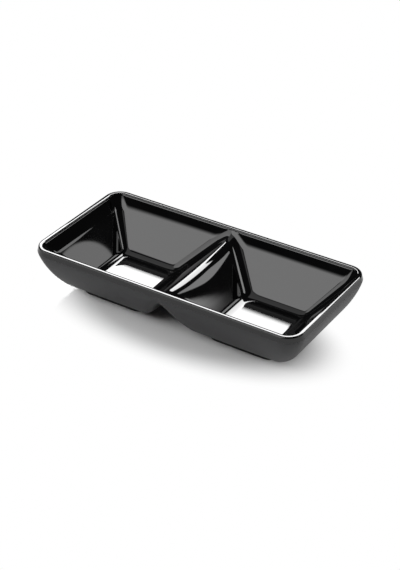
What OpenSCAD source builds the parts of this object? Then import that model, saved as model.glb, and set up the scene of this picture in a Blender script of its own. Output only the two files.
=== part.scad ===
// Divided serving bowl: a long rounded dish with two square wells and a low rounded ridge between them.
// Millimetres. Z is up, the table is z = 0, and the origin lies under the middle of the dish.
// X runs along the dish and Y across it.

/* [Dish] */
// Length over the widest line, where the gloss rim band meets the matt body
dish_length = 191.4; // [180:0.2:205]
// Width over the same line
dish_width = 91.4; // [84:0.2:100]
// Height of the rim's top above the table
dish_height = 35; // [30:0.5:40]
// Corner radius of the plan outline at the widest line
corner_r = 11.5; // [9.5:0.5:13]

/* [Rim] */
// Width of the rim from its outer to its inner edge
rim_w = 3.4; // [2.8:0.1:4]
// Height of the gloss band on the outside of the rim
band_h = 3.5; // [2.6:0.1:4.2]
// How far the band leans in from the widest line to the rim's top
band_draft = 0.7; // [0.2:0.1:1.2]
// Rounding of the rim's two top edges
rim_edge_r = 1; // [0.6:0.1:1.3]

/* [Wells] */
// Thickness of liner and body together, from a well's floor to the flat underside
floor_t = 3.9; // [3.4:0.1:8]
// Lean of the long straight part of a well's wall, in degrees from upright
wall_lean = 43; // [38:0.5:45]
// Lean of the steeper brow just under the rim, in degrees from upright
brow_lean = 26; // [20:0.5:32]
// Height of the brow
brow_h = 5; // [3:0.5:7]
// Blend between the brow and the wall
brow_blend = 3; // [1:0.5:4]
// Blend between the walls and the floor
floor_blend = 3; // [1:0.5:5]
// How quickly a well's upright corners tighten towards the floor, as radius lost per run of wall
well_taper = 0.15; // [0:0.01:0.16]

/* [Ridge] */
// How far the middle of the ridge's crest lies below the rim's top
crest_drop = 6.8; // [5:0.1:9]
// How far the crest rises from its middle to the long walls
crest_rise = 2.3; // [0:0.1:3]
// Radius of the crest in its middle
crest_r = 4.2; // [3:0.1:5]
// Share of that radius that the crest loses towards the long walls
crest_narrow_share = 0.5; // [0:0.05:0.6]
// Lean of the ridge's two flanks, in degrees from upright
flank_lean = 46; // [44:0.5:50]
// Blend between the ridge and the long walls
ridge_blend = 8; // [3:0.5:9]

/* [Outside] */
// How far the belly draws in from the widest line before it would run level
belly_run = 23.5; // [20:0.5:25]
// How soon the belly's curve starts to draw in: 1 is at once, and less starts more upright
belly_start = 0.8; // [0.7:0.05:1]
// Fullness of the belly's curve below its start: 2 is a parabola
belly_power = 1.8; // [1.6:0.05:2.2]
// How far the belly's curve would dip below the flat underside
belly_dip = 1.3; // [0.8:0.1:1.6]
// How quickly the outside corners tighten downwards, as radius lost per run of belly
belly_taper = 0.3; // [0.2:0.01:0.4]
// Thickness at the middle of the crest, from the gloss crest to the top of the valley underneath
crest_t = 4; // [3.4:0.1:6]
// Radius at the top of the valley
valley_r = 2; // [1:0.1:3]
// Lean of the valley's sides, in degrees from upright
valley_lean = 30; // [28:0.5:34]
// Blend between the valley and the belly
valley_blend = 10; // [6:0.5:12]
// Blend between the belly and the flat underside
under_blend = 0.4; // [0.2:0.1:1]

/* [Layers] */
// Thickness of the gloss liner
liner_t = 1.6; // [1.2:0.1:1.8]
// Gap between the liner and the body, away from the rim where they touch
bond_gap = 0.3; // [0.25:0.05:0.4]

/* [Feet] */
// How far a foot ring lies inside the dish's end
foot_end_inset = 22.7; // [20:0.1:26]
// How far a foot ring lies inside the dish's long sides
foot_side_inset = 18.7; // [18.5:0.1:22]
// How far a foot ring lies from the middle of the dish
foot_middle_inset = 22; // [20:0.5:25]
// Outside corner radius of a foot ring
foot_corner_r = 9; // [6:0.5:12]
// Thickness of a foot ring seen from below
foot_wall = 3.5; // [2.5:0.1:5]
// Height of the flat underside above the table, which is how far a foot shows
foot_show = 2.6; // [1.8:0.1:3]
// Depth of the groove that a foot ring is pressed up into
foot_seat = 0.8; // [0.5:0.1:1]
// Clearance on each side of a foot ring in its groove
foot_fit = 0.15; // [0.1:0.05:0.3]

/* [Hidden] */
gloss_black = [0.035, 0.035, 0.04];
matt_black = [0.15, 0.15, 0.155];
foot_black = [0.06, 0.06, 0.06];
cut_over = 1;
$fn = 64;

// Heights of the main lines of the section
seat_z = dish_height - band_h;
brow_z = dish_height - rim_edge_r;
crest_z = dish_height - crest_drop;
floor_z = foot_show + floor_t;
valley_z = crest_z - crest_t;

// Half sizes of the plan outline at the widest line, and of the wells' mouth inside the rim
half_x = dish_length / 2;
half_y = dish_width / 2;
lip_inset = band_draft + rim_w;
mouth_x = half_x - lip_inset;
mouth_y = half_y - lip_inset;
mouth_r = corner_r - lip_inset;

// Sizes of a foot ring, and how far its centre lies from the middle of the dish
foot_length = half_x - foot_end_inset - foot_middle_inset;
foot_width = 2 * (half_y - foot_side_inset);
foot_x = foot_middle_inset + foot_length / 2;

// Runs of the well's wall, inward from the mouth
brow_run = brow_h * tan(brow_lean);
wall_z = brow_z - brow_h + brow_run / tan(wall_lean);
wall_run = (wall_z - floor_z) * tan(wall_lean);

// The net of points that the moulded surfaces are drawn on: closed rings at growing insets
// from the plan outline, with the same upright lines of points crossing all of them
end_steps = 3;
corner_steps = 7;
edge_steps = 3;
far_shares = [0.04, 0.5];
flank_shares = [1.25, 1.1, 1, 0.9, 0.75, 0.55, 0.36];
crest_shares = [2, 1.2, 0.7, 0.3];
brow_shares = [0.3, 0.65, 1, 1.5];
wall_shares = [0.22, 0.4, 0.58, 0.76, 0.88, 0.95, 1.01, 1.08];
belly_shares = [0.008, 0.025, 0.06, 0.11, 0.18, 0.27, 0.38, 0.5, 0.62, 0.72, 0.8, 0.88, 1.02];
level_shares = [0.35, 0.7, 0.96];
least_r = rim_edge_r;
spine_r_share = 0.8;
mid_x = half_x - half_y;
well_insets = concat(
    [for (s = brow_shares) s * brow_run],
    [for (s = wall_shares) s * wall_run],
    [for (s = level_shares) between(wall_run, mouth_y, s)]);
belly_insets = concat(
    [for (s = belly_shares) s * belly_run],
    [for (s = level_shares) between(belly_run, half_y, s)]);

// The point a share of the way from a to b
function between(a, b, share) = a + (b - a) * share;

// The larger of two heights, with a rounded join where they are within k of each other
function blend(a, b, k) =
    let (near = max(k - abs(a - b), 0))
    max(a, b) + near * near / (4 * k);

// How far a point lies inside an outline of half sizes hx and hy. The outline's corner radius is r,
// and it loses taper for each unit that the outline moves inward.
function inset(x, y, hx, hy, r, taper) =
    let (
        ex = r - hx + abs(x),
        ey = r - hy + abs(y),
        keep = 1 - taper,
        a = 2 * keep * keep - taper * taper,
        b = 2 * (keep * (ex + ey) + taper * r),
        c = ex * ex + ey * ey - r * r,
        q = (sqrt(max(b * b - 4 * a * c, 0)) - b) / (2 * a))
    ex + keep * q > 0 && ey + keep * q > 0 ? q : min(hx - abs(x), hy - abs(y));

// Height of a ridge of crest radius r across x = 0, whose flanks lean by the angle given.
// It lies a thickness t inside a ridge whose crest is at height top.
function ridge_height(x, top, r, lean, t) =
    let (
        slope = 1 / tan(lean),
        c = max(r * slope - t * (1 / sin(lean) - 1) / slope, 0))
    top - t + slope * (c - sqrt(x * x + c * c));

// Height of the wells' surface, a thickness t below the gloss face
function well_height(x, y, t) =
    let (
        q = inset(x, y, mouth_x, mouth_y, mouth_r, well_taper),
        brow = brow_z - q / tan(brow_lean) - t / sin(brow_lean),
        wall = wall_z - q / tan(wall_lean) - t / sin(wall_lean),
        out = pow(y / mouth_y, 2),
        crest = crest_z + crest_rise * out,
        ridge = ridge_height(x, crest, crest_r * (1 - crest_narrow_share * out), flank_lean, t),
        sides = blend(blend(brow, wall, brow_blend), ridge, ridge_blend))
    blend(sides, floor_z - t, floor_blend);

// Height of the body's outside: the belly, the valley between the bowls and the flat underside
function outside_height(x, y) =
    let (
        q = inset(x, y, half_x, half_y, corner_r, belly_taper),
        start = pow(max(q / belly_run, 0), belly_start),
        foot = foot_show - belly_dip,
        belly = foot + (seat_z - foot) * pow(max(1 - start, 0), belly_power),
        valley = ridge_height(x, valley_z, valley_r, valley_lean, 0))
    blend(blend(belly, valley, valley_blend), foot_show, under_blend);

// Places of the net's upright lines along a long side, from the end of the straight to the ridge
function side_xs(r, toe) = concat(
    [for (s = far_shares) between(mid_x, flank_shares[0] * toe, s)],
    [for (s = flank_shares) s * toe],
    [for (s = crest_shares) s * r]);

// Where a ridge's flank would meet a level a given drop below its crest
function toe(drop, r, lean) = drop * tan(lean) + r / tan(lean);

// One closed ring of the net, counter-clockwise from the right-hand end, at an inset d
function ring(d, r, xs) =
    let (
        hx = half_x - d,
        hy = half_y - d,
        rr = min(max(r, least_r), spine_r_share * hy),
        quarter = concat(
            [for (i = [0:end_steps - 1]) [hx, (hy - rr) * (i + 0.5) / end_steps]],
            [for (i = [0:corner_steps])
                let (a = 90 * i / corner_steps)
                [hx - rr + rr * cos(a), hy - rr + rr * sin(a)]],
            [for (x = xs) [x, hy]]),
        last = len(quarter) - 1,
        upper = concat(quarter, [[0, hy]], [for (i = [last:-1:0]) [-quarter[i].x, quarter[i].y]]))
    concat(upper, [for (i = [len(upper) - 1:-1:0]) [upper[i].x, -upper[i].y]]);

// A level ring, such as one of the rim's
function level_ring(d, z, xs) = [for (p = ring(d, corner_r - d, xs)) [p.x, p.y, z]];

// A ring on the wells' surface at a run q from the mouth, a thickness t below the gloss face
function well_ring(q, t, xs) =
    [for (p = ring(lip_inset + q, mouth_r - well_taper * q, xs)) [p.x, p.y, well_height(p.x, p.y, t)]];

// A ring on the body's outside
function belly_ring(d, xs) =
    [for (p = ring(d, corner_r - belly_taper * d, xs)) [p.x, p.y, outside_height(p.x, p.y)]];

// The level ring on which a layer a thickness t below the gloss face comes up to the seat
function seat_ring(t, xs) =
    let (q = (brow_z - seat_z - t / sin(brow_lean)) * tan(brow_lean))
    [for (p = ring(lip_inset + q, mouth_r - well_taper * q, xs)) [p.x, p.y, seat_z]];

function backwards(list) = [for (i = [len(list) - 1:-1:0]) list[i]];

// A closed solid through a list of rings. They run from the middle of its underside outward,
// over its edge and back to the middle of its top.
module moulding(rings) {
    n = len(rings[0]);
    m = len(rings);
    half = n / 2;
    bend = end_steps + 1;
    // Each quad is split along the creases, which drift away from x = 0 as the rings shrink
    sides = [for (k = [0:m - 2], i = [0:n - 1])
        let (
            j = (i + 1) % n,
            a = k * n,
            b = a + n,
            shrinks = rings[k + 1][0].x < rings[k][0].x,
            towards_middle = i % half < (half - 1) / 2)
        each shrinks == towards_middle
            ? [[a + i, b + i, a + j], [b + i, b + j, a + j]]
            : [[a + i, b + i, b + j], [a + i, b + j, a + j]]];
    // The smallest ring is closed straight across, and with a fan at each of its two square ends
    under = concat(
        [for (i = [bend:half - 2 - bend]) each [[i, i + 1, n - 2 - i], [i, n - 2 - i, n - 1 - i]]],
        [for (a = [n - 1 - bend, half - 1 - bend], k = [1:2 * bend]) [a, (a + k) % n, (a + k + 1) % n]]);
    top = [for (f = under) [for (i = [2:-1:0]) f[i] + (m - 1) * n]];
    polyhedron([for (r = rings) each r], concat(sides, under, top));
}

// A bar with rounded corners, standing on z = 0
module rounded_bar(length, width, r, h) {
    linear_extrude(h) {
        square([length - 2 * r, width], center = true);
        square([length, width - 2 * r], center = true);
        for (x = [-1, 1], y = [-1, 1])
            translate([x * (length / 2 - r), y * (width / 2 - r)]) circle(r);
    }
}

// A foot's ring under one bowl, fatter by grow on each side, between two heights
module foot_ring(side, grow, low, high) {
    hole = foot_wall + grow;
    translate([side * foot_x, 0, low])
        difference() {
            rounded_bar(foot_length + 2 * grow, foot_width + 2 * grow, foot_corner_r + grow, high - low);
            translate([0, 0, -cut_over])
                rounded_bar(foot_length - 2 * hole, foot_width - 2 * hole,
                    foot_corner_r - hole, high - low + 2 * cut_over);
        }
}

// Both wells, the ridge, the rim's top and the gloss band around its outside
module inner_liner() {
    xs = side_xs(crest_r, toe(crest_z - floor_z, crest_r, flank_lean));
    edge = [for (i = [0:edge_steps]) 90 * i / edge_steps];
    color(gloss_black)
        moulding(concat(
            [for (q = backwards(well_insets)) well_ring(q, liner_t, xs)],
            [well_ring(0, liner_t, xs), seat_ring(liner_t, xs), level_ring(0, seat_z, xs)],
            [for (a = edge)
                level_ring(band_draft + rim_edge_r * (1 - cos(a)), brow_z + rim_edge_r * sin(a), xs)],
            [for (a = backwards(edge))
                level_ring(lip_inset - rim_edge_r * (1 - cos(a)), brow_z + rim_edge_r * sin(a), xs)],
            [for (q = well_insets) well_ring(q, 0, xs)]));
}

// The matt body under the liner, with a groove for each foot
module outer_shell() {
    t = liner_t + bond_gap;
    well_xs = side_xs(crest_r, toe(crest_z - floor_z, crest_r, flank_lean));
    valley_xs = side_xs(valley_r, toe(valley_z - foot_show, valley_r, valley_lean));
    color(matt_black)
        difference() {
            moulding(concat(
                [for (d = backwards(belly_insets)) belly_ring(d, valley_xs)],
                [level_ring(0, seat_z, well_xs), seat_ring(t, well_xs), well_ring(0, t, well_xs)],
                [for (q = well_insets) well_ring(q, t, well_xs)]));
            for (side = [-1, 1])
                foot_ring(side, foot_fit, foot_show - cut_over, foot_show + foot_seat);
        }
}

// The feet, pressed up into their grooves
module left_foot_ring() color(foot_black) foot_ring(-1, 0, 0, foot_show + foot_seat);

module right_foot_ring() color(foot_black) foot_ring(1, 0, 0, foot_show + foot_seat);

outer_shell();
inner_liner();
left_foot_ring();
right_foot_ring();
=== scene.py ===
"""A divided serving bowl: a matt body, a gloss liner with two square wells, and a foot ring under each well.

Lengths are metres. Z is up, the floor is z = 0, X runs along the dish and Y across it. The dish's surfaces
are height functions of the plan position, sampled on closed rings that follow the plan outline inward.
"""
import logging
import math
from dataclasses import dataclass, field
from enum import Enum
from typing import Any, Iterable, Optional, Sequence, Union

import bpy
import numpy as np
from mathutils import Matrix, Vector


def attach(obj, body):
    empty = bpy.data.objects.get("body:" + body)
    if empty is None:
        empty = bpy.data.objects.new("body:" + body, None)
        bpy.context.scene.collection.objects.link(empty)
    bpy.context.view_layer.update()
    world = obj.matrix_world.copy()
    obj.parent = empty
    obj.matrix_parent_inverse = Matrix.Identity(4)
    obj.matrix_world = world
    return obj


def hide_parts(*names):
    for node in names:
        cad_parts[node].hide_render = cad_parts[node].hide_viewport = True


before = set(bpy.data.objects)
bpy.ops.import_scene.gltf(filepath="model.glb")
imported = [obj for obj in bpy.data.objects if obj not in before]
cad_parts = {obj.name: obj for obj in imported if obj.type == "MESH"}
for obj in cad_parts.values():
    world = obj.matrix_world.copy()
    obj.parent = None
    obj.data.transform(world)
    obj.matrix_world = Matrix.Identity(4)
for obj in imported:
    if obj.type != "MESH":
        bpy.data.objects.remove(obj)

LOG = logging.getLogger("serving_bowl")
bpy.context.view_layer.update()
MM = 0.001
SMOOTH_ANGLE = math.radians(40)
GLOSS_IOR = 1.5

Array = np.ndarray
Size = Union[float, Array]
Point = tuple[float, float, float]
Colour = tuple[float, float, float]


# Small maths


def cot(degrees: float) -> float:
    """The cotangent of an angle in degrees: fall for each unit of run of a wall that leans by it."""
    return 1 / math.tan(math.radians(degrees))


def csc(degrees: float) -> float:
    """The cosecant of an angle in degrees: the drop that moves a leaning wall inward by one unit."""
    return 1 / math.sin(math.radians(degrees))


def blend(a: Array, b: Array, width: float) -> Array:
    """The larger of two heights, joined by a parabola where they are nearly equal.

    Formula: max(a, b) + d * d / (4 * width), where d is width less the difference, or zero.

    Args:
        a: One height at each point.
        b: The other height at each point.
        width: The difference of height at which the join begins.

    Returns:
        The joined height at each point.
    """
    near = np.maximum(width - np.abs(a - b), 0)
    return np.maximum(a, b) + near * near / (4 * width)


def inset(x: Array, y: Array, half_x: float, half_y: float, radius: float, taper: float) -> Array:
    """How far each point lies inside a rounded rectangle whose corners tighten as it shrinks.

    Formula: on a straight side it is the distance to that side. In a corner it is the root q of the
    circle's equation, whose centre moves inward by q and whose radius is radius less taper times q.

    Args:
        x: Positions along the dish.
        y: Positions across it.
        half_x: Half the rectangle's length.
        half_y: Half its width.
        radius: Its corner radius.
        taper: Radius lost for each unit of inset.

    Returns:
        The inset of each point.
    """
    ex = radius - half_x + np.abs(x)
    ey = radius - half_y + np.abs(y)
    keep = 1 - taper
    a = 2 * keep * keep - taper * taper
    b = 2 * (keep * (ex + ey) + taper * radius)
    c = ex * ex + ey * ey - radius * radius
    q = (np.sqrt(np.maximum(b * b - 4 * a * c, 0)) - b) / (2 * a)
    corner = (ex + keep * q > 0) & (ey + keep * q > 0)
    return np.where(corner, q, np.minimum(half_x - np.abs(x), half_y - np.abs(y)))


def ridge(x: Array, top: Size, radius: Size, lean: float, below: float = 0.0) -> Array:
    """Height of a rounded ridge across x = 0.

    Formula: a hyperbola whose crest has the radius given and whose arms fall at the flanks' slope,
    moved a distance below towards the inside of the material.

    Args:
        x: Positions along the dish.
        top: Height of the crest, for all points or for each.
        radius: Radius of the crest, for all points or for each.
        lean: The flanks' lean in degrees from upright.
        below: Thickness between this surface and the one whose crest is at top.

    Returns:
        The height at each point.
    """
    slope = cot(lean)
    c = np.maximum(radius * slope - below * (csc(lean) - 1) / slope, 0)
    return top - below + slope * (c - np.sqrt(x * x + c * c))


def steps(marks: Sequence[float], counts: Sequence[int]) -> Array:
    """Rising values through several stretches, each divided evenly.

    Args:
        marks: Where each stretch starts, and where the last one ends.
        counts: The number of steps in each stretch.

    Returns:
        The values, with the first mark and without the last.
    """
    stretches = zip(marks, marks[1:], counts)
    return np.concatenate([np.linspace(a, b, n, endpoint=False) for a, b, n in stretches])


# The dish's form


@dataclass(frozen=True)
class DishForm:
    """The driving sizes of the dish, and the heights of its surfaces.

    Attributes:
        length: Length over all.
        width: Width over all.
        height: Height from the table to the rim.
        corner: Radius of the plan's corners.
        rim_width: Width of the rim's top.
        band: Height of the gloss band round the rim's outside.
        band_draft: How far the band leans in from its foot to its top.
        rim_edge: Radius of the rim's two edges.
        floor_wall: Thickness of liner and body together under the wells' floors.
        wall_lean: Degrees from upright of the wells' walls.
        brow_lean: Degrees from upright of the steeper brow above them.
        brow: Height of the brow.
        brow_blend: Blend of the brow with the wall.
        floor_blend: Blend of the walls with the floor.
        well_taper: Loss of the wells' corner radius for each unit of inset.
        crest_drop: Drop from the rim to the middle of the ridge's crest.
        crest_rise: Rise of the crest from its middle to its ends.
        crest_radius: Radius of the crest at its middle.
        crest_narrow_share: Share of that radius that is lost at the ends.
        flank_lean: Degrees from upright of the ridge's flanks.
        ridge_blend: Blend of the ridge with the long walls.
        belly_run: Inset at which the belly would reach the underside.
        belly_start: Power of the belly's law that shapes its shoulder.
        belly_power: Power of the belly's law that shapes its foot.
        belly_dip: How far the belly's law ends below the underside.
        belly_taper: Loss of the outside's corner radius for each unit of inset.
        crest_wall: Thickness between the ridge's crest and the valley's.
        valley_radius: Radius of the valley's crest.
        valley_lean: Degrees from upright of the valley's sides.
        valley_blend: Blend of the valley with the bellies.
        under_blend: Blend of the outside with the flat underside.
        liner: Thickness of the liner.
        bond: Gap between the liner and the body.
        foot_end_inset: Inset of the foot rings from the dish's ends.
        foot_side_inset: Their inset from its long sides.
        foot_middle_inset: Their distance from its middle.
        foot_corner: Corner radius of their plan.
        foot_wall: Their width.
        foot_show: How far they stand out under the body.
        foot_seat: How deep they sit in the body.
    """

    length: float = 191.4 * MM
    width: float = 91.4 * MM
    height: float = 35 * MM
    corner: float = 11.5 * MM
    rim_width: float = 3.4 * MM
    band: float = 3.5 * MM
    band_draft: float = 0.7 * MM
    rim_edge: float = 1 * MM
    floor_wall: float = 3.9 * MM
    wall_lean: float = 43
    brow_lean: float = 26
    brow: float = 5 * MM
    brow_blend: float = 3 * MM
    floor_blend: float = 3 * MM
    well_taper: float = 0.15
    crest_drop: float = 6.8 * MM
    crest_rise: float = 2.3 * MM
    crest_radius: float = 4.2 * MM
    crest_narrow_share: float = 0.5
    flank_lean: float = 46
    ridge_blend: float = 8 * MM
    belly_run: float = 23.5 * MM
    belly_start: float = 0.8
    belly_power: float = 1.8
    belly_dip: float = 1.3 * MM
    belly_taper: float = 0.3
    crest_wall: float = 4 * MM
    valley_radius: float = 2 * MM
    valley_lean: float = 30
    valley_blend: float = 10 * MM
    under_blend: float = 0.4 * MM
    liner: float = 1.6 * MM
    bond: float = 0.3 * MM
    foot_end_inset: float = 22.7 * MM
    foot_side_inset: float = 18.7 * MM
    foot_middle_inset: float = 22 * MM
    foot_corner: float = 9 * MM
    foot_wall: float = 3.5 * MM
    foot_show: float = 2.6 * MM
    foot_seat: float = 0.8 * MM

    @property
    def half_x(self) -> float:
        """Half the length at the widest line."""
        return self.length / 2

    @property
    def half_y(self) -> float:
        """Half the width at the widest line."""
        return self.width / 2

    @property
    def seat(self) -> float:
        """Height of the line where the gloss band meets the matt body."""
        return self.height - self.band

    @property
    def brow_top(self) -> float:
        """Height at which the rim's rounded edges begin."""
        return self.height - self.rim_edge

    @property
    def crest(self) -> float:
        """Height of the middle of the ridge between the wells."""
        return self.height - self.crest_drop

    @property
    def floor(self) -> float:
        """Height of the wells' floors."""
        return self.foot_show + self.floor_wall

    @property
    def lip(self) -> float:
        """Inset of the wells' mouth from the widest line."""
        return self.band_draft + self.rim_width

    @property
    def mouth_radius(self) -> float:
        """Corner radius of the wells' mouth."""
        return self.corner - self.lip

    @property
    def wall_top(self) -> float:
        """Height at which the long straight wall would meet the mouth."""
        run = self.brow * math.tan(math.radians(self.brow_lean))
        return self.brow_top - self.brow + run * cot(self.wall_lean)

    @property
    def wall_run(self) -> float:
        """Run of the wall from the mouth to the floor."""
        return (self.wall_top - self.floor) / cot(self.wall_lean)

    def inside(self, x: Array, y: Array, below: float = 0.0) -> Array:
        """Height of the wells' surface.

        Formula: the brow and the wall fall from the mouth at two slopes, and are blended with each
        other, then with the ridge, then with the floor. The ridge's crest rises and narrows with the
        square of the distance from the middle.

        Args:
            x: Positions along the dish.
            y: Positions across it.
            below: Thickness between this surface and the gloss face.

        Returns:
            The height at each point.
        """
        q = inset(x, y, self.half_x - self.lip, self.half_y - self.lip, self.mouth_radius, self.well_taper)
        brow = self.brow_top - q * cot(self.brow_lean) - below * csc(self.brow_lean)
        wall = self.wall_top - q * cot(self.wall_lean) - below * csc(self.wall_lean)
        out = (y / (self.half_y - self.lip)) ** 2
        radius = self.crest_radius * (1 - self.crest_narrow_share * out)
        middle = ridge(x, self.crest + self.crest_rise * out, radius, self.flank_lean, below)
        sides = blend(blend(brow, wall, self.brow_blend), middle, self.ridge_blend)
        return blend(sides, np.full_like(x, self.floor - below), self.floor_blend)

    def outside(self, x: Array, y: Array) -> Array:
        """Height of the body's outside.

        Formula: (1 - s ** start) ** power, where s is the share of the belly's run, gives the belly's
        fall from the widest line. It is blended with the valley under the ridge, then with the flat
        underside.

        Args:
            x: Positions along the dish.
            y: Positions across it.

        Returns:
            The height at each point.
        """
        q = inset(x, y, self.half_x, self.half_y, self.corner, self.belly_taper)
        low = self.foot_show - self.belly_dip
        start = np.maximum(q / self.belly_run, 0) ** self.belly_start
        belly = low + (self.seat - low) * np.maximum(1 - start, 0) ** self.belly_power
        valley = ridge(x, self.crest - self.crest_wall, self.valley_radius, self.valley_lean)
        sides = blend(belly, valley, self.valley_blend)
        return blend(sides, np.full_like(x, self.foot_show), self.under_blend)


@dataclass(frozen=True)
class RingNet:
    """Closed rings of points that follow the plan outline inward, with the same lines crossing them all.

    Attributes:
        form: The dish's sizes.
        end_steps: Points up half an end, as far as the corner.
        corner_steps: Steps round each corner.
        outer_steps: Steps from the corner to the crowded stretch near the ridge.
        near_marks_mm: Distances from the ridge at which the crowding changes, in millimetres.
        near_counts: Steps between those distances.
        least_radius: The smallest corner radius.
        spine_share: The largest corner radius, as a share of a ring's half width.
        last_share: The innermost ring's inset, as a share of the half width.
        hidden_counts: Rings on the wall and on the floor of a layer that can't be seen.
    """

    form: DishForm
    end_steps: int = 14
    corner_steps: int = 22
    outer_steps: int = 26
    near_marks_mm: tuple[float, ...] = (0, 9, 16, 32, 42)
    near_counts: tuple[int, ...] = (22, 10, 24, 8)
    least_radius: float = 1 * MM
    spine_share: float = 0.8
    last_share: float = 0.985
    hidden_counts: tuple[int, ...] = (14, 8)

    @property
    def last_run(self) -> float:
        """Run from the wells' mouth to the innermost ring."""
        return self.last_share * (self.form.half_y - self.form.lip)

    def hidden_runs(self) -> Array:
        """Runs from the mouth of the rings on a layer that can't be seen."""
        return steps((0, self.form.wall_run, self.last_run), self.hidden_counts)

    def along(self) -> Array:
        """Places along half a long side near the ridge, close together at the crest and the toes."""
        return steps(self.near_marks_mm, self.near_counts)[1:][::-1] * MM

    def plan(self, insets: Array, radii: Array) -> tuple[Array, Array]:
        """The plan positions of the rings' points.

        Formula: a quarter of a rounded rectangle goes up the end, round the corner and along the
        side to x = 0, and is mirrored twice. All rings are worked out together.

        Args:
            insets: Each ring's inset from the widest line.
            radii: Each ring's corner radius.

        Returns:
            x and y, each with a row for each ring.
        """
        hx = (self.form.half_x - insets)[:, None]
        hy = (self.form.half_y - insets)[:, None]
        r = np.minimum(np.maximum(radii[:, None], self.least_radius), self.spine_share * hy)
        end = (np.arange(self.end_steps) + 0.5) / self.end_steps
        turn = np.linspace(0, math.pi / 2, self.corner_steps + 1)
        near = self.along()
        out = np.linspace(1, 0, self.outer_steps + 1)[1:-1]
        start = near[0] + (near[0] - near[1])
        qx = np.concatenate([
            np.broadcast_to(hx, (len(hx), len(end))),
            hx - r + r * np.cos(turn),
            start + (hx - r - start) * out,
            np.broadcast_to(np.append(start, near), (len(hx), len(near) + 1))], axis=1)
        qy = np.concatenate([
            (hy - r) * end,
            hy - r + r * np.sin(turn),
            np.broadcast_to(hy, (len(hy), len(out) + len(near) + 1))], axis=1)
        zero = np.zeros_like(hy)
        ux = np.concatenate([qx, zero, -qx[:, ::-1]], axis=1)
        uy = np.concatenate([qy, hy, qy[:, ::-1]], axis=1)
        return np.concatenate([ux, ux[:, ::-1]], axis=1), np.concatenate([uy, -uy[:, ::-1]], axis=1)

    def level(self, insets: Iterable[float], heights: Iterable[float]) -> Array:
        """Rings that each lie level, such as the rim's.

        Args:
            insets: Each ring's inset.
            heights: Each ring's height.

        Returns:
            The points, ring by ring.
        """
        d = np.asarray(list(insets))
        x, y = self.plan(d, self.form.corner - d)
        return np.stack([x, y, np.broadcast_to(np.asarray(list(heights))[:, None], x.shape)], axis=2)

    def wells(self, runs: Array, below: float = 0.0) -> Array:
        """Rings on the wells' surface.

        Args:
            runs: Each ring's run inward from the mouth.
            below: Thickness between this surface and the gloss face.

        Returns:
            The points, ring by ring.
        """
        x, y = self.plan(self.form.lip + runs, self.form.mouth_radius - self.form.well_taper * runs)
        return np.stack([x, y, self.form.inside(x, y, below)], axis=2)

    def seat(self, below: float) -> Array:
        """The level ring at which a layer below the gloss face comes up to the seat.

        Args:
            below: Thickness between the layer and the gloss face.

        Returns:
            The points of the one ring.
        """
        form = self.form
        run = np.array([(form.brow_top - form.seat - below * csc(form.brow_lean)) / cot(form.brow_lean)])
        x, y = self.plan(form.lip + run, form.mouth_radius - form.well_taper * run)
        return np.stack([x, y, np.full_like(x, form.seat)], axis=2)

    def belly(self, insets: Array) -> Array:
        """Rings on the body's outside.

        Args:
            insets: Each ring's inset.

        Returns:
            The points, ring by ring.
        """
        x, y = self.plan(insets, self.form.corner - self.form.belly_taper * insets)
        return np.stack([x, y, self.form.outside(x, y)], axis=2)

    def close(self, rings: Array) -> tuple[Array, Array]:
        """A closed skin over rings that run from the middle of the underside, over the edge, to the top.

        Formula: each ring is joined to the next by quads, and the first and last rings are closed
        straight across, with a fan at each square end.

        Args:
            rings: The points, ring by ring.

        Returns:
            The vertices, and the faces as rows of four, where a triangle's last value is -1.
        """
        m, n = rings.shape[:2]
        i = np.arange(n)
        j = (i + 1) % n
        base = (np.arange(m - 1) * n)[:, None]
        walls = np.stack([base + i, base + j, base + n + j, base + n + i], axis=2).reshape(-1, 4)
        half = n // 2
        bend = self.end_steps + 1
        k = np.arange(bend, half - 1 - bend)
        across = np.stack([k, n - 1 - k, n - 2 - k, k + 1], axis=1)
        t = np.arange(1, 2 * bend + 1)
        fans = [np.stack([np.full_like(t, a), (a + t + 1) % n, (a + t) % n, np.full_like(t, -1)], axis=1)
                for a in (n - 1 - bend, half - 1 - bend)]
        under = np.concatenate([across, *fans])
        top = np.where(under < 0, -1, under + (m - 1) * n)
        quads, triangles = top[top[:, 3] >= 0][:, ::-1], top[top[:, 3] < 0]
        top = np.concatenate([quads, triangles[:, [2, 1, 0, 3]]])
        return rings.reshape(-1, 3), np.concatenate([walls, under, top])


def piece_from(name: str, points: Array, faces: Array) -> bpy.types.Object:
    """A mesh object at the origin, shaded smooth except at edges sharper than SMOOTH_ANGLE.

    Args:
        name: The object's name.
        points: Its vertices.
        faces: Rows of four vertex numbers, where a triangle's last value is -1.

    Returns:
        The new object, linked to the scene.
    """
    sizes = np.where(faces[:, 3] < 0, 3, 4).astype(np.int32)
    corners = faces.reshape(-1)
    corners = corners[corners >= 0].astype(np.int32)
    starts = np.concatenate([[0], np.cumsum(sizes)[:-1]]).astype(np.int32)
    mesh = bpy.data.meshes.new(name)
    mesh.vertices.add(len(points))
    mesh.vertices.foreach_set("co", np.ascontiguousarray(points, dtype=np.float32).ravel())
    mesh.loops.add(len(corners))
    mesh.loops.foreach_set("vertex_index", corners)
    mesh.polygons.add(len(sizes))
    mesh.polygons.foreach_set("loop_start", starts)
    mesh.polygons.foreach_set("loop_total", sizes)
    mesh.update(calc_edges=True)
    mesh.validate()
    mesh.shade_smooth()
    mesh.set_sharp_from_angle(angle=SMOOTH_ANGLE)
    thing = bpy.data.objects.new(name, mesh)
    bpy.context.scene.collection.objects.link(thing)
    return thing


# Shader maths


Number = Union[float, "Field"]


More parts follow.
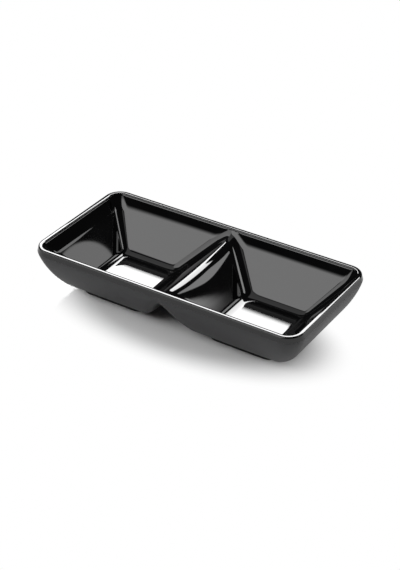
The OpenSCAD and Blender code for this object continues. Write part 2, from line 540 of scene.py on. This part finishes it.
class Field:
    """One output socket of a material, with arithmetic that adds Math nodes."""

    def __init__(self, graph: "Graph", socket: bpy.types.NodeSocket) -> None:
        """Wraps a socket of the graph's tree."""
        self.graph = graph
        self.socket = socket

    def _with(self, operation: str, *values: Number) -> "Field":
        """A Math node of the operation on the values, in order."""
        return self.graph.add("ShaderNodeMath", {"operation": operation}, dict(enumerate(values)))

    def __add__(self, other: Number) -> "Field":
        """The sum."""
        return self._with("ADD", self, other)

    def __rsub__(self, other: Number) -> "Field":
        """The difference from a number."""
        return self._with("SUBTRACT", other, self)

    def __mul__(self, other: Number) -> "Field":
        """The product."""
        return self._with("MULTIPLY", self, other)

    def __pow__(self, other: Number) -> "Field":
        """The power."""
        return self._with("POWER", self, other)

    def above(self, low: float, high: float) -> "Field":
        """A smooth mask.

        Args:
            low: The value below which it is 0.
            high: The value above which it is 1.

        Returns:
            The mask.
        """
        settings = {"interpolation_type": "SMOOTHSTEP", "clamp": True}
        limits = {"Value": self, "From Min": low, "From Max": high}
        return self.graph.add("ShaderNodeMapRange", settings, limits)


@dataclass(frozen=True)
class Clouds:
    """A layer of cloudy noise.

    Attributes:
        size: The size of its grains in metres.
        detail: How many finer layers it has.
        roughness: How strong the finer layers are.
        shown: The part of its range that is stretched to 0 to 1, or None for all of it.
    """

    size: float
    detail: float = 2.0
    roughness: float = 0.5
    shown: Optional[tuple[float, float]] = None


class Graph:
    """A material's node tree, built by expressions."""

    def __init__(self, name: str) -> None:
        """Makes an empty material with an output node.

        Args:
            name: The material's name.
        """
        self.material = bpy.data.materials.new(name)
        self.material.use_nodes = True
        self.tree = self.material.node_tree
        self.tree.nodes.clear()
        self.end = self.tree.nodes.new("ShaderNodeOutputMaterial")

    def add(self, kind: str, settings: dict[str, Any], inputs: dict[Any, Any], output: Any = 0) -> Field:
        """Adds a node: its settings first, then the values or links of its sockets.

        Args:
            kind: The node's type.
            settings: Its properties, such as a Math node's operation.
            inputs: Values or fields by socket name or number.
            output: The name or number of the output that is returned.

        Returns:
            That output as a field.
        """
        node = self.tree.nodes.new(kind)
        for name, value in settings.items():
            setattr(node, name, value)
        for key, value in inputs.items():
            if isinstance(value, Field):
                self.tree.links.new(value.socket, node.inputs[key])
            else:
                node.inputs[key].default_value = value
        return Field(self, node.outputs[output])

    def place(self) -> Field:
        """Object coordinates, in metres."""
        return self.add("ShaderNodeTexCoord", {}, {}, "Object")

    def axis(self, name: str) -> Field:
        """One of the object coordinates, X, Y or Z, in metres."""
        return self.add("ShaderNodeSeparateXYZ", {}, {"Vector": self.place()}, name)

    def noise(self, clouds: Clouds) -> Field:
        """Cloudy noise.

        Args:
            clouds: The layer of noise.

        Returns:
            Its value, from 0 to 1.
        """
        values = {"Vector": self.place(), "Scale": 1 / clouds.size, "Detail": clouds.detail,
                  "Roughness": clouds.roughness}
        cloudy = self.add("ShaderNodeTexNoise", {}, values, "Fac")
        return cloudy.above(*clouds.shown) if clouds.shown else cloudy

    def mix(self, amount: Field, first: Colour, second: Colour) -> Field:
        """A colour between two others.

        Args:
            amount: 0 for the first, 1 for the second.
            first: The first colour.
            second: The second colour.

        Returns:
            The colour.
        """
        values = {"Factor": amount, "A": (*first, 1), "B": (*second, 1)}
        return self.add("ShaderNodeMix", {"data_type": "RGBA"}, values, "Result")

    def bump(self, height: Field, depth: float) -> Field:
        """A normal from a height.

        Args:
            height: The height, from 0 to 1.
            depth: What a height of 1 stands for, in metres.

        Returns:
            The normal.
        """
        values = {"Height": height, "Distance": depth, "Strength": 1.0}
        return self.add("ShaderNodeBump", {}, values, "Normal")

    def principled(self, **values: Any) -> Field:
        """A Principled BSDF.

        Args:
            values: Socket values or fields, with the spaces of their names as underscores.

        Returns:
            The shader.
        """
        inputs = {name.replace("_", " "): value for name, value in values.items()}
        return self.add("ShaderNodeBsdfPrincipled", {}, inputs, "BSDF")

    def mix_shaders(self, amount: Field, first: Field, second: Field) -> Field:
        """A shader between two others, which is the first where the amount is 0."""
        return self.add("ShaderNodeMixShader", {}, {0: amount, 1: first, 2: second})

    def finish(self, shader: Field) -> bpy.types.Material:
        """Ends the graph in a shader, and returns the material."""
        self.tree.links.new(shader.socket, self.end.inputs["Surface"])
        return self.material


@dataclass(frozen=True)
class GlossFinish:
    """Polished black moulding: a deep even black under a clear skin with the faintest ripple.

    Attributes:
        name: The material's name.
        deep: The colour outside the haze.
        light: The colour in the haze.
        roughness: The roughness outside the haze and the flecks.
        haze: The wide soft patches.
        haze_adds: The roughness that they add.
        flecks: The fine dull spots.
        flecks_add: The roughness that they add.
        ripple: The waves of the surface.
        ripple_depth: Their height.
    """

    name: str = "gloss_black_moulding"
    deep: Colour = (0.002, 0.002, 0.0022)
    light: Colour = (0.004, 0.004, 0.0044)
    roughness: float = 0.018
    haze: Clouds = Clouds(22 * MM, 3, shown=(0.35, 0.8))
    haze_adds: float = 0.006
    flecks: Clouds = Clouds(1.2 * MM, shown=(0.62, 0.8))
    flecks_add: float = 0.004
    ripple: Clouds = Clouds(9 * MM, 1)
    ripple_depth: float = 0.0002 * MM

    def material(self) -> bpy.types.Material:
        """The finish as a material.

        Returns:
            The new material.
        """
        graph = Graph(self.name)
        haze, flecks = graph.noise(self.haze), graph.noise(self.flecks)
        return graph.finish(graph.principled(
            Base_Color=graph.mix(haze, self.deep, self.light),
            Roughness=haze * self.haze_adds + flecks * self.flecks_add + self.roughness,
            IOR=GLOSS_IOR,
            Normal=graph.bump(graph.noise(self.ripple), self.ripple_depth)))


@dataclass(frozen=True)
class MattFinish:
    """Charcoal moulding from a spark-textured mould: a fine grain with slight patches of sheen.

    Attributes:
        name: The material's name.
        dark: The colour where the grain and the patches are low, darker in the grain's hollows as painted
            shade.
        light: The colour where they are high, lighter on the grain's tops as painted light.
        roughness: The least roughness.
        sheen: The level of the reflection.
        patches: The wide soft patches.
        patches_add: The roughness that they add.
        grain: The texture of the mould.
        grain_adds: The roughness that it adds.
        grain_share: Its share in the colour, as painted shade in its hollows, where the patches have the
            rest.
        grain_depth: Its height.
    """

    name: str = "matt_charcoal_moulding"
    dark: Colour = (0.02, 0.02, 0.0212)
    light: Colour = (0.034, 0.034, 0.036)
    roughness: float = 0.42
    sheen: float = 0.28
    patches: Clouds = Clouds(14 * MM, 3)
    patches_add: float = 0.1
    grain: Clouds = Clouds(0.55 * MM, roughness=0.6)
    grain_adds: float = 0.08
    grain_share: float = 0.6
    grain_depth: float = 0.035 * MM

    def material(self) -> bpy.types.Material:
        """The finish as a material.

        Returns:
            The new material.
        """
        graph = Graph(self.name)
        patches, grain = graph.noise(self.patches), graph.noise(self.grain)
        # The grain darkens the colour in its hollows as painted shade; the patches vary the tone at random.
        tone_and_painted_shade = grain * self.grain_share + patches * (1 - self.grain_share)
        return graph.finish(graph.principled(
            Base_Color=graph.mix(tone_and_painted_shade, self.dark, self.light),
            Roughness=patches * self.patches_add + grain * self.grain_adds + self.roughness,
            Specular_IOR_Level=self.sheen,
            Normal=graph.bump(grain, self.grain_depth)))


@dataclass(frozen=True)
class FootFinish:
    """Plain black moulding of the feet, a little scuffed where it stands on the table.

    Attributes:
        name: The material's name.
        dark: The colour where it is new.
        light: The colour where it is scuffed.
        roughness: The least roughness.
        sheen: The level of the reflection.
        grain: The texture of the mould.
        grain_adds: The roughness that it adds.
        grain_depth: Its height.
        scuffs: The worn spots.
        scuffs_add: The roughness that they add.
        scuffs_share: Their share in the colour, where the grain has the rest, darker in its hollows as
            painted shade.
        scuffed_below: The height to which they show in full. They end at twice that height.
    """

    name: str = "satin_black_foot"
    dark: Colour = (0.006, 0.006, 0.006)
    light: Colour = (0.014, 0.014, 0.0145)
    roughness: float = 0.5
    sheen: float = 0.15
    grain: Clouds = Clouds(0.8 * MM, roughness=0.6)
    grain_adds: float = 0.12
    grain_depth: float = 0.03 * MM
    scuffs: Clouds = Clouds(2.5 * MM, 4, 0.7, (0.5, 0.7))
    scuffs_add: float = 0.15
    scuffs_share: float = 0.8
    scuffed_below: float = 0.5 * MM

    def material(self) -> bpy.types.Material:
        """The finish as a material.

        Returns:
            The new material.
        """
        graph = Graph(self.name)
        grain, scuffs = graph.noise(self.grain), graph.noise(self.scuffs)
        worn = scuffs * (1 - graph.axis("Z").above(self.scuffed_below, 2 * self.scuffed_below))
        # The scuffs lighten the colour as wear; the grain darkens it in its hollows as painted shade.
        tone_and_painted_shade = worn * self.scuffs_share + grain * (1 - self.scuffs_share)
        return graph.finish(graph.principled(
            Base_Color=graph.mix(tone_and_painted_shade, self.dark, self.light),
            Roughness=grain * self.grain_adds + worn * self.scuffs_add + self.roughness,
            Specular_IOR_Level=self.sheen,
            Normal=graph.bump(grain, self.grain_depth)))


# The pieces


@dataclass
class InnerLiner:
    """The gloss skin: both wells, the ridge between them, the rim's top and the band round its outside.

    Attributes:
        net: The net of rings.
        finish: The surface.
        edge_points: Points round each edge of the rim.
        land_points: Points across the rim's flat top, with its two ends.
        band_steps: Steps up the band.
        brow_end: Run from the mouth to the end of the brow.
        toe_before: Run before the foot of the wall at which the rings crowd together.
        toe_after: Run past the foot of the wall at which they spread out.
        well_counts: Rings on the brow, the wall, its foot and the floor.
        name: The piece's name.
    """

    net: RingNet
    finish: GlossFinish = field(default_factory=GlossFinish)
    edge_points: int = 7
    land_points: int = 4
    band_steps: int = 4
    brow_end: float = 5.5 * MM
    toe_before: float = 3.2 * MM
    toe_after: float = 3 * MM
    well_counts: tuple[int, ...] = (16, 26, 14, 14)
    name: str = "gloss_liner"

    def rings(self) -> Array:
        """The rings of its skin.

        Returns:
            The points, ring by ring, from the middle of its underside over the rim to the wells' middle.
        """
        form, net = self.net.form, self.net
        toe = form.wall_run
        marks = (0, self.brow_end, toe - self.toe_before, toe + self.toe_after, net.last_run)
        inside = np.append(steps(marks, self.well_counts), net.last_run)
        turn = np.linspace(0, math.pi / 2, self.edge_points)
        round_in = form.rim_edge * (1 - np.cos(turn))
        round_up = form.brow_top + form.rim_edge * np.sin(turn)
        outer = net.level(form.band_draft + round_in, round_up)
        inner = net.level(form.lip - round_in[::-1], round_up[::-1])
        land = np.linspace(form.band_draft + form.rim_edge, form.lip - form.rim_edge, self.land_points)[1:-1]
        band = np.linspace(0, 1, self.band_steps + 1)[:-1]
        return np.concatenate([
            net.wells(net.hidden_runs()[::-1], form.liner),
            net.seat(form.liner),
            net.level(band * form.band_draft, form.seat + band * (form.brow_top - form.seat)),
            outer,
            net.level(land, np.full(len(land), form.height)),
            inner,
            net.wells(inside[1:])])

    def build(self) -> bpy.types.Object:
        """Makes the liner in place of its solid.

        Returns:
            The piece.
        """
        piece = piece_from(self.name, *self.net.close(self.rings()))
        piece.data.materials.append(self.finish.material())
        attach(piece, "root")
        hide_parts("inner_liner")
        return piece


@dataclass
class OuterShell:
    """The matt body: both bowls' outsides, the valley between them and the flat underside.

    Attributes:
        net: The net of rings.
        finish: The surface.
        shoulder_marks: Insets near the widest line at which the crowding of the rings changes.
        toe_before: Run before the belly's foot at which the rings crowd together.
        toe_after: Run past the belly's foot at which they spread out.
        belly_counts: Rings on the shoulder's two stretches, the belly, its foot and the underside.
        name: The piece's name.
    """

    net: RingNet
    finish: MattFinish = field(default_factory=MattFinish)
    shoulder_marks: tuple[float, ...] = (0.03 * MM, 0.6 * MM, 3 * MM)
    toe_before: float = 6 * MM
    toe_after: float = 1 * MM
    belly_counts: tuple[int, ...] = (6, 8, 18, 22, 18)
    name: str = "matt_body"

    def rings(self) -> Array:
        """The rings of its skin.

        Returns:
            The points, ring by ring, from the middle of the underside over the seat to the wells' middle.
        """
        form, net = self.net.form, self.net
        toe, last = form.belly_run, net.last_share * form.half_y
        marks = (*self.shoulder_marks, toe - self.toe_before, toe + self.toe_after, last)
        below = form.liner + form.bond
        return np.concatenate([
            net.belly(steps(marks, self.belly_counts)[::-1]),
            net.level([0.0], [form.seat]),
            net.seat(below),
            net.wells(net.hidden_runs(), below)])

    def build(self) -> bpy.types.Object:
        """Makes the body in place of its solid.

        Returns:
            The piece.
        """
        piece = piece_from(self.name, *self.net.close(self.rings()))
        piece.data.materials.append(self.finish.material())
        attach(piece, "root")
        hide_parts("outer_shell")
        return piece


class Side(Enum):
    """The two ends of the dish, by the sign of x."""

    LEFT = -1
    RIGHT = 1


@dataclass
class FootRing:
    """A low ring that the dish stands on, pressed up into the body.

    Attributes:
        side: The end of the dish that it is under.
        form: The dish's sizes.
        finish: The surface.
        edge: Radius of its two bottom edges.
        corner_steps: Steps round each corner of its plan.
        edge_points: Points round each bottom edge.
    """

    side: Side
    form: DishForm
    finish: FootFinish
    edge: float = 0.5 * MM
    corner_steps: int = 14
    edge_points: int = 5

    def profile(self) -> Array:
        """The ring's section.

        Formula: straight sides and top, and a quarter circle at each of the two bottom edges.

        Returns:
            Rows of inset and height, from the top outside round the bottom to the top inside.
        """
        turn = np.linspace(0, math.pi / 2, self.edge_points)
        r, w, top = self.edge, self.form.foot_wall, self.form.foot_show + self.form.foot_seat
        outer = np.stack([r - r * np.cos(turn), r - r * np.sin(turn)], axis=1)
        inner = np.stack([w - r + r * np.sin(turn), r - r * np.cos(turn)], axis=1)
        return np.concatenate([[[0, top]], outer, inner, [[w, top]]])

    def build(self) -> bpy.types.Object:
        """Makes the ring in place of its solid.

        Formula: the section is carried round a rounded rectangle, whose corner radius shrinks by each
        point's inset.

        Returns:
            The piece.
        """
        form = self.form
        d, z = self.profile().T
        turn = np.linspace(0, math.pi / 2, self.corner_steps + 1)
        r = (form.foot_corner - d)[:, None]
        half_length = (form.half_x - form.foot_end_inset - form.foot_middle_inset) / 2
        cx, cy = half_length - form.foot_corner, form.half_y - form.foot_side_inset - form.foot_corner
        qx, qy = cx + r * np.cos(turn), cy + r * np.sin(turn)
        middle = self.side.value * (form.foot_middle_inset + half_length)
        x = np.concatenate([qx, -qx[:, ::-1], -qx, qx[:, ::-1]], axis=1) + middle
        y = np.concatenate([qy, qy[:, ::-1], -qy, -qy[:, ::-1]], axis=1)
        points = np.stack([x, y, np.broadcast_to(z[:, None], x.shape)], axis=2)
        m, n = x.shape
        i, k = np.arange(n), np.arange(m)[:, None]
        j, up = (i + 1) % n, (k + 1) % m
        faces = np.stack([k * n + i, up * n + i, up * n + j, k * n + j], axis=2).reshape(-1, 4)
        name = f"{self.side.name.lower()}_foot"
        piece = piece_from(name, points.reshape(-1, 3), faces)
        piece.data.materials.append(self.finish.material())
        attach(piece, "root")
        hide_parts(f"{name}_ring")
        return piece


# The studio


@dataclass(frozen=True)
class SoftBox:
    """A flat glowing panel that the camera doesn't see.

    Attributes:
        name: Its name.
        left: Its lower left corner.
        right: Its lower right corner.
        rise: How much higher its upper edge is.
        glow: The strength of its light.
        lean: How far its upper edge is moved along X and Y.
        lights_matt: Whether it lights surfaces, or is only mirrored in them.
        rounding: Radius of its corners, as a share of its sides.
        feather: How far its glow fades in from the edge, as a share of the way to the middle.
        corner_steps: Steps round each corner.
    """

    name: str
    left: Point
    right: Point
    rise: float
    glow: float
    lean: tuple[float, float] = (0.0, 0.0)
    lights_matt: bool = True
    rounding: float = 0.01
    feather: float = 0.08
    corner_steps: int = 10

    def outline(self) -> Array:
        """The panel's outline.

        Formula: a unit square whose four corners are quarter circles of the rounding.

        Returns:
            Rows of the shares of its width and height, counter-clockwise.
        """
        turn = np.linspace(0, math.pi / 2, self.corner_steps + 1)
        inner = 0.5 - self.rounding
        across, up = inner + self.rounding * np.cos(turn), inner + self.rounding * np.sin(turn)
        quarter = np.stack([across, up], axis=1)
        back = quarter[::-1]
        return 0.5 + np.concatenate([quarter, back * (-1, 1), -quarter, back * (1, -1)])

    def build(self) -> bpy.types.Object:
        """Makes the panel as a fan of triangles round its middle, whose glow fades out near its edge.

        Returns:
            The panel.
        """
        corner, across = np.array(self.left), np.array(self.right) - self.left
        share = np.concatenate([[[0.5, 0.5]], self.outline()])
        points = corner + share[:, :1] * across + share[:, 1:] * np.array([*self.lean, self.rise])
        rim = np.arange(1, len(points))
        fan = np.stack([np.zeros_like(rim), rim, np.roll(rim, -1), np.full_like(rim, -1)], axis=1)
        panel = piece_from(self.name, points, fan)
        depth = panel.data.attributes.new("depth", "FLOAT", "POINT")
        depth.data.foreach_set("value", np.append(1.0, np.zeros(len(rim))))
        graph = Graph(self.name)
        inward = graph.add("ShaderNodeAttribute", {"attribute_name": "depth"}, {}, "Fac")
        clear = graph.add("ShaderNodeBsdfTransparent", {}, {})
        lamp = graph.add("ShaderNodeEmission", {}, {"Strength": self.glow})
        shader = graph.mix_shaders(inward.above(0, self.feather), clear, lamp)
        panel.data.materials.append(graph.finish(shader))
        panel.visible_camera = False
        panel.visible_diffuse = self.lights_matt
        return panel


@dataclass
class Studio:
    """The pale floor, the soft lights round the dish and the camera.

    Attributes:
        floor_size: Length of the floor's sides.
        floor_colour: Its colour.
        floor_roughness: Its roughness.
        white: The glow with which it is seen as plain white.
        shadow_ellipse: Half lengths of the ellipse in which it shows shadows.
        shadow_shift: How far the ellipse lies in front of the dish's middle.
        shadow_core: The share of the ellipse inside which nothing is whitened.
        sky: Strength of the light all round.
        camera_azimuth: Degrees from the front towards the right.
        camera_elevation: Degrees above the floor.
        camera_roll: Degrees about the line of sight.
        camera_distance: Distance from the target.
        target: The point that the camera looks at.
        focal_pixels: Focal length in pixels.
        frame_pixels: Height of the frame in pixels.
        sensor: Size of the sensor in Blender's units.
        clip_start: The nearest distance that the camera sees.
        boxes: The lights.
    """

    floor_size: float = 6.0
    floor_colour: Colour = (0.9, 0.9, 0.9)
    floor_roughness: float = 0.2
    white: float = 1.0
    shadow_ellipse: tuple[float, float] = (115 * MM, 55 * MM)
    shadow_shift: float = 12 * MM
    shadow_core: float = 0.56
    sky: float = 0.03
    camera_azimuth: float = 33.303
    camera_elevation: float = 33.117
    camera_roll: float = -0.35
    camera_distance: float = 884.2 * MM
    target: Point = (1.725 * MM, 0.0, 16 * MM)
    focal_pixels: float = 1417
    frame_pixels: float = 570
    sensor: float = 36.0
    clip_start: float = 10 * MM
    boxes: tuple[SoftBox, ...] = (
        SoftBox("back_box", (-1.75, 1.5, 1.175), (0.57, 1.5, 1.195), 0.42, 15.0, rounding=0.2, feather=0.06),
        SoftBox("front_box", (0.43, -1.2, 0.74), (-1.48, -1.2, 0.74), 1.88, 3.9, rounding=0.4, feather=0.28),
        SoftBox("left_box", (-1.3, -1.35, 0.6), (-1.3, 0.1, 0.6), 1.1, 2.6, rounding=0.35, feather=0.15),
        SoftBox("round_card", (1.54, 1.97, 1.346), (1.696, 1.843, 1.346), 0.2017, 3.0, rounding=0.5),
        SoftBox("oval_card", (1.194, 2.25, 0.974), (1.544, 1.966, 0.974), 0.487, 3.8, rounding=0.5),
        SoftBox("back_card", (0.67, 1.2, 0.90), (0.831, 1.2, 0.90), 0.16, 3.5, rounding=0.1),
        SoftBox("right_box", (0.53, 0.45, 0.74), (0.66, 0.27, 0.74), 0.38, 5.0),
        SoftBox("front_wall", (0.0, -1.2, 0.08), (-1.45, -1.2, 0.08), 0.32, 4.0, lights_matt=False),
        SoftBox("back_wall", (0.69, 0.98, 0.03), (1.04, 0.6, 0.03), 0.14, 4.5, lights_matt=False),
        SoftBox("top_sheet", (-2.5, -1.1, 2.5), (0.2, -1.1, 2.5), 0.0, 0.8, (0.0, 2.2)),
    )

    def floor(self) -> bpy.types.Object:
        """The pale floor, with a soft sheen. Away from the dish it is seen as plain white.

        Formula: the white begins at a share of the ellipse x^2 / a^2 + (y + c)^2 / b^2 = 1, and is full
        on it. It is there only for light that goes to the camera or to a mirroring or clear surface.

        Returns:
            The floor.
        """
        half = self.floor_size / 2
        corners = np.array([[-half, -half, 0], [half, -half, 0], [half, half, 0], [-half, half, 0]])
        floor = piece_from("pale_floor", corners, np.array([[0, 1, 2, 3]]))
        graph = Graph("pale_floor")
        along, across = self.shadow_ellipse
        x = graph.axis("X") * (1 / along)
        y = (graph.axis("Y") + self.shadow_shift) * (1 / across)
        away = ((x * x + y * y) ** 0.5).above(self.shadow_core, 1)
        camera, mirror, through = (graph.add("ShaderNodeLightPath", {}, {}, f"Is {kind} Ray")
                                   for kind in ("Camera", "Glossy", "Transmission"))
        seen = (camera + mirror + through).above(0, 1)
        colour = (*self.floor_colour, 1)
        sheen = graph.principled(Base_Color=colour, Roughness=self.floor_roughness, IOR=GLOSS_IOR)
        white = graph.add("ShaderNodeEmission", {}, {"Strength": self.white})
        floor.data.materials.append(graph.finish(graph.mix_shaders(away * seen, sheen, white)))
        return floor

    def world(self) -> None:
        """A dim even grey all round."""
        world = bpy.data.worlds.new("dim_room")
        world.use_nodes = True
        background = world.node_tree.nodes["Background"]
        background.inputs["Color"].default_value = (1, 1, 1, 1)
        background.inputs["Strength"].default_value = self.sky
        bpy.context.scene.world = world

    def camera(self) -> bpy.types.Object:
        """The camera, placed by its angles round the target and rolled about its line of sight.

        Returns:
            The camera.
        """
        a, e = math.radians(self.camera_azimuth), math.radians(self.camera_elevation)
        back = Vector((math.sin(a) * math.cos(e), -math.cos(a) * math.cos(e), math.sin(e)))
        lens = bpy.data.cameras.new("camera")
        lens.sensor_fit = "AUTO"
        lens.sensor_width = self.sensor
        lens.lens = self.focal_pixels * self.sensor / self.frame_pixels
        lens.clip_start = self.clip_start
        eye = bpy.data.objects.new("camera", lens)
        turn = back.to_track_quat("Z", "Y").to_matrix().to_4x4()
        roll = Matrix.Rotation(math.radians(self.camera_roll), 4, "Z")
        eye.matrix_world = Matrix.Translation(Vector(self.target) + back * self.camera_distance) @ turn @ roll
        bpy.context.scene.collection.objects.link(eye)
        bpy.context.scene.camera = eye
        return eye

    def build(self) -> None:
        """Sets up the floor, the lights, the camera and the plain view transform."""
        self.floor()
        [box.build() for box in self.boxes]
        self.world()
        self.camera()
        bpy.context.scene.view_settings.view_transform = "Standard"


def report(piece: bpy.types.Object) -> None:
    """Logs a piece's size and number of faces."""
    size = " x ".join(f"{side / MM:.1f}" for side in piece.dimensions)
    LOG.info("%s: %s mm, %d faces", piece.name, size, len(piece.data.polygons))


def main() -> None:
    """Builds the dish and the studio."""
    logging.basicConfig(level=logging.INFO, format="%(message)s")
    form = DishForm()
    net = RingNet(form)
    foot = FootFinish()
    feet = [FootRing(side, form, foot) for side in Side]
    for part in (OuterShell(net), InnerLiner(net), *feet):
        report(part.build())
    Studio().build()
    bpy.context.view_layer.update()


if __name__ == "__main__":
    main()
